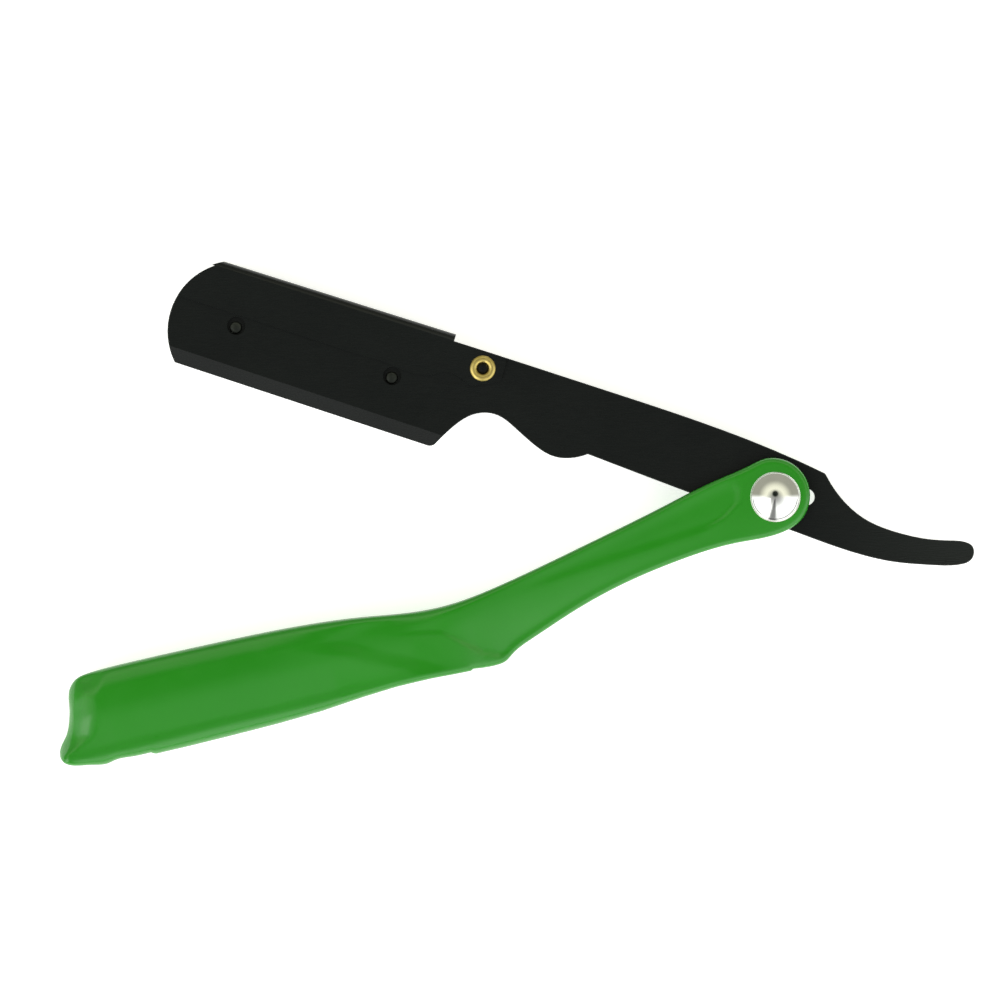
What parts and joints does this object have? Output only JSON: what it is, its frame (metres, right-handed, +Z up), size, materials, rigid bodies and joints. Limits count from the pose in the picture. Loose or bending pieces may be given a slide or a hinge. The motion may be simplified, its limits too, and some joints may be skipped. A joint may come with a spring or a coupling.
{
  "type": "folding barber razor",
  "caption": "Open straight razor for barbers: black steel arm with swing-out blade cover, hooked tail and a curved green two-part handle on a domed rivet.",
  "frame": {"origin": "middle of the bounding box, at its lowest level, with the razor open and lying on its back scale", "axes": "+Z up from the surface it lies on; +X from the far ends of handle and head towards the tail; +Y from the handle towards the blade head"},
  "size_m": [0.1618, 0.0892, 0.012],
  "materials": {
    "green_plastic": "moulded, between satin and gloss",
    "black_steel": "satin black coating",
    "brass": "bright",
    "chrome": "polished",
    "steel": "plain"
  },
  "bodies": {
    "handle": {"scale_front": "green_plastic", "scale_back": "green_plastic", "spine_insert": "green_plastic", "rivet_tube": "chrome", "rivet_pin": "chrome", "washer_front": "steel", "washer_back": "steel"},
    "arm": {"arm_front_sheet": "black_steel", "arm_back_sheet": "black_steel", "eyelet": "brass", "eyelet_spacer": "brass"},
    "swing_cover": {"cover_channel": "black_steel", "nub_toe": "black_steel", "nub_heel": "black_steel"}
  },
  "joints": [
    {"name": "main_hinge", "type": "hinge", "parent": "handle", "child": "arm", "pos_m": [0.04569, 0.00293, 0.006], "axis": [0, 0, 1], "range_deg": [-264, 33.5]},
    {"name": "cover_swing", "type": "hinge", "parent": "arm", "child": "swing_cover", "pos_m": [-0.00606, 0.0257, 0.006], "axis": [0, 0, 1], "range_deg": [-60, 0]}
  ]
}
